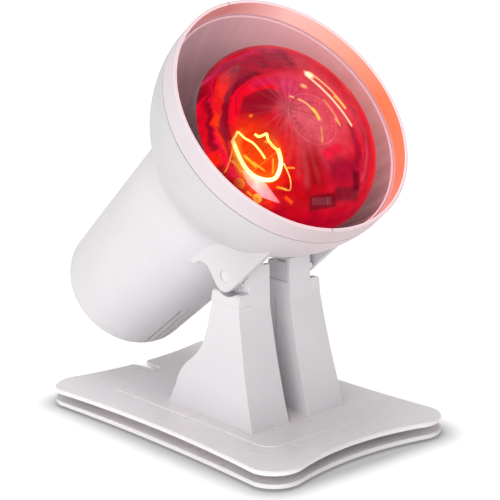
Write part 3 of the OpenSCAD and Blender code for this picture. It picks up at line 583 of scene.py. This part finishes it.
def stroke(middle, lean, half, thick, sag=0.0, soft=0.5, place=plane):
    """1 on a bent line of light on the glass, 0 away from it. Lengths are in millimetres."""
    near = place.node("ShaderNodeMapping", {
        "Vector": place, "Location": (*middle, 0.0), "Rotation": (0.0, 0.0, math.radians(lean))},
        vector_type="TEXTURE")
    run, side, _ = near.parts()
    off = abs(side - sag + run * run * (sag / half ** 2))
    width = off.node("ShaderNodeMapRange", {
        "Value": off, "From Min": thick + soft, "From Max": max(thick - soft, 0.0), "To Min": 0.0,
        "To Max": 1.0}, interpolation_type="SMOOTHSTEP")
    return width * abs(run).between(half + soft, half - soft)


# Colour from the middle to the edge, lighter in the middle where painted light shows and deep red at the
# thick edge, then the painted lights and shadows of the
# silvering: broad soft ones first, then the wavy bands at the left and right.
# Each row has middle, lean, half length, half width, sag, softness, colour
# and share.
paint = rho.between(0.0, bulb_r).ramp(
    (0.0, (0.84, 0.14, 0.18)), (0.3, (0.78, 0.06, 0.10)), (0.6, (0.74, 0.006, 0.02)),
    (0.85, (0.62, 0.003, 0.02)), (0.955, (0.58, 0.002, 0.02)), (0.985, (0.34, 0.0, 0.010)),
    (1.0, (0.20, 0.0, 0.006)))
for middle, lean, half, thick, sag, soft, colour, share in [
        ((-2.0, 17.0), -10, 8.0, 6.0, 0.0, 6.0, (0.76, 0.05, 0.15), 0.9),
        ((18.0, 9.0), -70, 18.0, 10.0, 0.0, 7.0, (0.80, 0.075, 0.11), 0.8),
        ((8.0, 33.0), -25, 12.0, 4.5, 0.0, 4.0, (0.62, 0.06, 0.09), 0.8),
        ((-30.0, 1.0), 0, 16.0, 7.0, 0.0, 5.0, (0.72, 0.003, 0.010), 0.9),
        ((-20.0, -15.0), 60, 14.0, 7.0, 0.0, 6.0, (0.80, 0.002, 0.002), 0.9),
        ((-9.0, -24.0), 78, 11.0, 5.5, 0.0, 5.0, (0.38, 0.001, 0.002), 0.9),
        ((9.0, -27.0), -10, 11.0, 6.0, 0.0, 4.5, (0.34, 0.002, 0.03), 0.85),
        ((-22.0, -33.0), -38, 9.0, 4.5, 0.0, 4.0, (0.52, 0.001, 0.003), 0.8),
        ((0.0, -44.0), 0, 16.0, 2.4, -2.5, 2.0, (0.42, 0.001, 0.02), 0.8),
        ((-21.0, 13.0), 22, 11.5, 6.0, 0.0, 4.5, (0.24, 0.001, 0.012), 0.9)]:
    paint = (stroke(middle, lean, half, thick, sag, soft, swayed) * share).mix(paint, colour)
for middle, lean, half, thick, sag, soft, colour, share in [
        ((-37.0, 12.5), 63.5, 22.0, 2.7, 4.8, 0.9, (1.0, 0.012, 0.006), 1.0),
        ((-42.0, 5.0), 82, 9.0, 1.7, 0.5, 1.2, (1.0, 0.05, 0.002), 0.8),
        ((-43.6, -3.0), 94, 13.0, 0.7, 1.6, 0.6, (0.92, 0.004, 0.05), 0.9),
        ((-41.6, -4.0), 96, 12.0, 0.5, 1.6, 0.5, (0.32, 0.0, 0.012), 0.85),
        ((-39.6, -9.0), 102, 8.0, 0.9, 1.0, 0.8, (0.90, 0.006, 0.02), 0.7),
        ((-43.0, 12.0), 73, 14.0, 0.7, 2.6, 0.6, (0.80, 0.001, 0.02), 0.8),
        ((-34.5, 18.5), 58, 22.0, 0.7, 6.2, 0.5, (0.20, 0.0, 0.014), 0.9),
        ((-31.5, 24.5), 50, 15.0, 0.5, 5.2, 0.4, (0.80, 0.004, 0.04), 0.8),
        ((-27.5, 14.0), 43, 20.5, 1.7, 8.6, 0.8, (0.20, 0.001, 0.016), 0.95),
        ((-23.5, 11.5), 28, 17.0, 3.0, 9.0, 1.0, (0.98, 0.002, 0.018), 0.95),
        ((-25.0, 16.5), 38, 12.0, 0.4, 5.2, 0.4, (0.50, 0.0, 0.03), 0.6),
        ((-14.0, 21.5), -2, 7.0, 1.8, 1.5, 1.5, (0.80, 0.01, 0.09), 0.8),
        ((-10.5, 33.5), 3.8, 24.0, 1.0, 6.2, 1.0, (0.56, 0.02, 0.09), 0.85),
        ((-10.5, 31.3), 3.8, 21.0, 0.4, 5.8, 0.4, (0.52, 0.02, 0.07), 0.6),
        ((-9.0, 42.5), 3, 20.0, 1.2, 1.8, 1.0, (0.18, 0.012, 0.022), 0.75),
        ((24.5, -14.5), 71.6, 20.0, 1.0, -5.5, 0.8, (0.70, 0.06, 0.10), 0.7),
        ((20.5, -16.5), 71.6, 11.0, 2.0, -2.5, 1.5, (0.28, 0.002, 0.03), 0.75),
        ((23.0, -17.5), 71.6, 15.0, 0.6, -3.6, 0.5, (0.80, 0.01, 0.05), 0.8),
        ((26.0, -12.0), 74, 17.0, 0.5, -4.4, 0.4, (0.32, 0.004, 0.03), 0.6),
        ((30.0, -17.0), 68, 20.0, 2.0, -6.0, 1.2, (0.90, 0.002, 0.022), 0.85),
        ((33.5, 8.0), 84, 12.0, 2.2, -1.5, 2.0, (0.80, 0.03, 0.05), 0.7)]:
    paint = (stroke(middle, lean, half, thick, sag, soft, swayed) * share).mix(paint, colour)

# The brushed silvering at the top shows as fine dark lines
brushed = phi.node("ShaderNodeCombineXYZ", {0: rho * 1.5 + x * 0.35, 1: phi * 4.0})
hairs = brushed.noise(1.3, 3.0).between(0.36, 0.62, 0.35, 1.0)
hazy = stroke((-9.5, 30.5), 0, 20.0, 5.2, 2.8, 3.2, swayed)
paint = (hairs * hazy * 0.92).mix(paint, (0.15, 0.022, 0.045))

# Fine wavy dark lines, part of the painted reflections, follow the bands at the left
wander = rho + (plane.noise(0.12, 3.0) - 0.5) * 14.0
thin = abs((wander * 0.42).maths("FRACT") - 0.5).between(0.10, 0.03)
left_side = x.between(-24.0, -31.0) * n.between(1.0, 8.0) * rho.between(32.0, 36.0)
paint = (thin * left_side * 0.2).mix(paint, (0.36, 0.0, 0.02))

# Painted rays of light and shade spread from the neck's reflection
ray_x, ray_n = -9.0, 7.0
ray_rho, ray_phi = polar(x - ray_x, n - ray_n)
ray_way = ray_phi.node("ShaderNodeCombineXYZ", {0: ray_phi.maths("COSINE"), 1: ray_phi.maths("SINE")})
fan = ray_way.noise(6.5, 4.0)
reach = ray_rho.between(24.0, 5.0)
paint = (fan.between(0.50, 0.64) * reach * 0.55).mix(paint, (0.52, 0.10, 0.13))
paint = (fan.between(0.48, 0.38) * reach * 0.45).mix(paint, (0.34, 0.004, 0.012))
paint = (ray_rho.between(7.0, 1.0) * 0.6).mix(paint, (0.42, 0.08, 0.10))
beam_x, beam_n, beam_start = -6.0, 4.0, 6.0
for lean, half, thick, share in [(-124, 12.0, 0.9, 0.35), (-112, 13.0, 0.8, 0.25), (-104, 15.0, 1.4, 0.32),
                                 (-93, 14.0, 0.6, 0.2), (-152, 8.0, 0.9, 0.3), (-78, 12.0, 0.8, 0.18)]:
    angle, away = math.radians(lean), beam_start + half
    middle = (beam_x + away * math.cos(angle), beam_n + away * math.sin(angle))
    paint = (stroke(middle, lean, half, thick, 0.0, 1.6) * share).mix(paint, (0.62, 0.10, 0.12))

# Painted dark and pale reflections in patches low on the glass
for middle, lean, half, thick, sag, soft, colour, share in [
        ((6.0, -17.3), 12, 6.5, 2.3, 0.0, 0.9, (0.92, 0.010, 0.045), 0.9),
        ((7.0, -37.3), -6, 7.5, 3.0, 0.0, 1.2, (0.15, 0.008, 0.020), 0.85),
        ((14.8, -32.5), 70, 4.8, 2.0, 0.0, 0.8, (0.11, 0.0, 0.010), 0.9),
        ((-8.0, -38.2), -5, 7.5, 3.0, 0.0, 0.9, (0.12, 0.002, 0.008), 0.85),
        ((-8.6, -38.0), -9, 5.4, 1.5, 0.0, 0.4, (0.22, 0.04, 0.06), 0.75),
        ((-5.5, -38.6), 80, 1.6, 0.3, 0.0, 0.3, (0.40, 0.12, 0.14), 0.6)]:
    paint = (stroke(middle, lean, half, thick, sag, soft) * share).mix(paint, colour)

# A thin etched ring with plain marks between two circles
etch_x, etch_n, outer_r, inner_r, mark_count = 2.5, -0.3, 13.1, 7.8, 26
etch_rho, etch_phi = polar(x - etch_x, n - etch_n)
lines = abs(etch_rho - outer_r).between(0.38, 0.12)
lines = lines.highest(abs(etch_rho - inner_r).between(0.3, 0.1) * 0.45)
marks = (etch_phi * (mark_count / (2 * math.pi))).maths("FRACT").between(0.62, 0.7)
marks = marks * etch_rho.between(9.3, 9.5) * etch_rho.between(11.6, 11.4) * 0.6
worn = plane.noise(0.16, 2.0).between(0.35, 0.62, 0.25, 1.0)
lines = lines.highest(marks) * worn
paint = (lines * 0.5).mix(paint, (0.90, 0.28, 0.33))

# Painted glow and dark streaks round the filament, then painted highlights that mirror it. Their
# rows have the columns of the bands above, without a share.
glow_x, glow_n, glow_half_x, glow_half_n = -32.0, -9.5, 9.3, 12.8
from_x, from_n = (x - glow_x) / glow_half_x, (n - glow_n) / glow_half_n
coil_rho = (from_x * from_x + from_n * from_n) ** 0.5
glow_side = x.between(-43.0, -35.0, 0.05, 1.0)
paint = (coil_rho.between(1.55, 0.85) * glow_side * 0.85).mix(paint, (0.96, 0.055, 0.002))
glow_dark_streaks = x.node("ShaderNodeCombineXYZ", {0: x * 0.10 + n * 0.35, 1: x * 0.35 - n * 0.10}).noise(2.6, 4.0)
glow_dark_streaks = glow_dark_streaks.between(0.50, 0.66) * stroke((-38.0, -14.0), -58, 14.0, 4.5, 0.0, 3.0)
paint = (glow_dark_streaks * 0.75).mix(paint, (0.34, 0.002, 0.006))
paint = (coil_rho.between(0.95, 0.5) * n.between(4.0, -6.0) * 0.8).mix(paint, (1.0, 0.15, 0.004))
halo = abs(coil_rho - 0.98).between(0.26, 0.05) * (x * 0.5 + n * 0.85).between(-14.0, -20.0)
paint = (halo * 0.9).mix(paint, (1.0, 0.36, 0.02))
glints = [
    ((19.0, 7.3), -66.4, 15.2, 0.6, 1.5, 0.5, (1.5, 0.98, 0.55)),
    ((14.3, 22.3), -25.0, 2.0, 1.5, 0.0, 1.0, (1.9, 1.35, 0.85)),
    ((20.9, 13.4), -61.5, 12.0, 0.5, 1.3, 0.5, (1.3, 0.68, 0.22)),
    ((24.6, 6.0), -64.0, 4.0, 0.65, 0.2, 0.5, (1.2, 0.60, 0.10)),
    ((15.8, 1.5), -78.0, 7.0, 0.5, 0.7, 0.7, (0.98, 0.30, 0.14)),
    ((16.7, -4.0), -72.0, 2.0, 0.5, 0.1, 0.5, (1.1, 0.55, 0.14)),
    ((6.8, 16.6), -25.0, 1.4, 0.9, 0.0, 0.9, (1.1, 0.55, 0.20)),
    ((-3.4, 12.0), -30.0, 1.3, 0.35, 0.1, 0.5, (1.1, 0.55, 0.25)),
    ((2.2, 6.8), -52.0, 4.6, 0.45, 0.9, 0.5, (1.15, 0.62, 0.24)),
    ((5.2, 1.6), -80.0, 3.4, 0.85, 0.5, 0.7, (1.2, 0.72, 0.10)),
    ((3.2, -8.8), 66.0, 4.2, 0.4, -0.3, 0.6, (0.98, 0.34, 0.14)),
    ((-28.6, 7.4), 25.0, 0.9, 0.5, 0.2, 0.5, (1.1, 0.34, 0.04)),
    ((-20.8, -20.4), -14.0, 2.6, 0.3, 0.0, 0.4, (1.2, 0.55, 0.04)),
    ((-26.0, -8.0), -50.0, 3.0, 0.4, 0.4, 0.5, (1.2, 0.60, 0.05)),
    ((-37.5, -12.5), -64.0, 4.0, 0.5, 0.0, 0.7, (1.2, 0.60, 0.03)),
    ((-34.8, -16.0), -55.0, 3.6, 0.35, 0.0, 0.6, (1.2, 0.55, 0.03)),
    ((-28.4, -17.5), 68.0, 3.8, 0.4, 0.0, 0.6, (1.2, 0.50, 0.03)),
    ((-43.6, -7.5), 66.0, 4.6, 0.12, 0.0, 0.3, (0.95, 0.30, 0.02)),
    ((-42.6, -12.0), -72.0, 3.4, 0.15, 0.3, 0.3, (0.95, 0.34, 0.02)),
    ((-27.5, -28.0), -30.0, 2.4, 0.4, 0.0, 0.4, (1.1, 0.50, 0.04)),
    ((-25.0, -33.5), -48.0, 2.2, 0.5, 0.0, 0.5, (1.0, 0.10, 0.005))]
bright = lines * 0.3
for middle, lean, half, thick, sag, soft, colour in glints:
    spot = stroke(middle, lean, half, thick, sag, soft)
    paint = spot.mix(paint, colour)
    bright = bright.highest(spot)
uneven = plane.noise(0.2, 3.0).between(0.3, 0.7, 0.78, 1.12)
gain = uneven.node("ShaderNodeCombineXYZ", {0: uneven, 1: uneven, 2: uneven})
paint = paint.node("ShaderNodeVectorMath", {0: paint, 1: gain}, operation="MULTIPLY")

# The glass is clearest over the filament, where the real one shows through
over_plate = stroke((-34.5, -27.5), -52.0, 7.0, 1.6, 0.0, 1.0)
from_coil = plane.node("ShaderNodeVectorMath", {0: plane, 1: (-33.0, -11.0, 0.0)}, out="Value",
                       operation="DISTANCE")
cover = from_coil.between(11.0, 23.0, 0.42, 0.94) - over_plate * 0.3
cover = (cover + x.between(-37.0, -43.0) * 0.5).lowest(0.95).highest(bright)
give(surface, Emission_Color=paint, Alpha=cover, Roughness=at.noise(40.0).between(0.3, 0.7, 0.05, 0.12))

face_h, face_out, edge_r, around = 20.0, 6.5, 16.0, 128
dome_r = ((bulb_r - edge_r) ** 2 + face_h ** 2 - edge_r ** 2) / (2 * (face_h - edge_r))
knee = math.asin((bulb_r - edge_r) / (dome_r - edge_r))
dome_turns = [knee * i / 40 for i in range(1, 41)]
edge_turns = [knee + (math.pi / 2 - knee) * i / 20 for i in range(1, 21)]
outline = [(dome_r * math.sin(a), face_out - dome_r + dome_r * math.cos(a)) for a in dome_turns]
outline += [(bulb_r - edge_r + edge_r * math.sin(a), widest + edge_r * math.cos(a)) for a in edge_turns]
points, faces = turned_mesh(outline, around)
points.append((0.0, 0.0, face_out))
faces += [(i, (i + 1) % around, len(points) - 1)[::-1] for i in range(around)]
new_piece("bulb_dome", points, [face[::-1] for face in faces], red_glass, "red_glass", ["bulb_face"])

# ---------------------------------------------------------------- camera
# The picture is taken from the lamp's front left, a little above it, with a
# long lens.
cam_turn, cam_rise, cam_away, cam_roll = -0.706, 0.259, 0.88819, -0.021
cam_target = Vector((0.003088, -0.000766 - base_back, 0.08401))
cam_back = Vector((math.sin(cam_turn) * math.cos(cam_rise), -math.cos(cam_turn) * math.cos(cam_rise),
                   math.sin(cam_rise)))
cam_right = Vector((math.cos(cam_turn), math.sin(cam_turn), 0.0))
cam_up = cam_back.cross(cam_right)
rolled_right = math.cos(cam_roll) * cam_right + math.sin(cam_roll) * cam_up
rolled_up = -math.sin(cam_roll) * cam_right + math.cos(cam_roll) * cam_up
camera = bpy.data.objects.new("camera", bpy.data.cameras.new("camera"))
bpy.context.scene.collection.objects.link(camera)
turn = Matrix((rolled_right, rolled_up, cam_back)).transposed().to_4x4()
camera.matrix_world = Matrix.Translation(cam_target + cam_back * cam_away) @ turn
camera.data.sensor_width = 36.0
camera.data.lens = 131.79
camera.data.shift_x = 0.0094
camera.data.shift_y = 0.0045
camera.data.clip_start, camera.data.clip_end = 0.05, 20.0
bpy.context.scene.camera = camera

# ---------------------------------------------------------------- light and floor
# A white sweep in a bright room, with large soft lights at the left and one
# overhead. The floor is white, with a painted soft shadow round the base.
scene = bpy.context.scene
scene.view_settings.view_transform = "Standard"
world = bpy.data.worlds.new("studio")
world.use_nodes = True
room = world.node_tree.nodes["Background"].inputs
room["Color"].default_value = (1.0, 1.0, 1.0, 1.0)
room["Strength"].default_value = 0.55
scene.world = world


def soft_light(name, where, size, power):
    """A round lamp that faces the middle of the object."""
    lamp = bpy.data.lights.new(name, "AREA")
    lamp.shape = "DISK"
    lamp.size = size
    lamp.energy = power
    made = bpy.data.objects.new(name, lamp)
    scene.collection.objects.link(made)
    made.location = where
    made.rotation_mode = "QUATERNION"
    made.rotation_quaternion = (Vector(where) - Vector((0.0, -0.01, 0.1))).to_track_quat("Z", "Y")


soft_light("key", (-1.1, -0.8, 0.25), 0.9, 6.2)
soft_light("upper_left", (-1.1, -0.3, 1.0), 0.9, 2.2)
soft_light("far_left", (-1.35, -0.25, 0.35), 0.9, 2.8)
soft_light("top", (0.0, 0.1, 1.6), 1.0, 8.2)

floor_mesh = bpy.data.meshes.new("floor")
bm = bmesh.new()
bmesh.ops.create_grid(bm, x_segments=2, y_segments=2, size=6.0)
bm.to_mesh(floor_mesh)
bm.free()
floor = bpy.data.objects.new("floor", floor_mesh)
scene.collection.objects.link(floor)
floor_white, surface, at = finish_for("floor_white", Base_Color=(0.5, 0.5, 0.5), Roughness=0.9,
                                      Specular_IOR_Level=0.1, Emission_Strength=1.0)
floor_x, floor_y, _ = at.parts()
base_half_x, base_half_y, base_corner = 0.058, 0.0875, 0.012
from_base = past_outline(floor_x, floor_y + base_back, base_half_x, base_half_y, base_corner)
# Painted shadow: the floor's glow is dimmed near the base's outline.
give(surface, Emission_Color=from_base.between(0.0, 1.6).ramp(
    (0.0, (0.10, 0.10, 0.10)), (0.003, (0.34, 0.335, 0.335)), (0.007, (0.62, 0.62, 0.62)),
    (0.018, (0.70, 0.70, 0.70)), (0.25, (0.70, 0.70, 0.70)), (1.0, (0.82, 0.82, 0.82))))
floor_mesh.materials.append(floor_white)
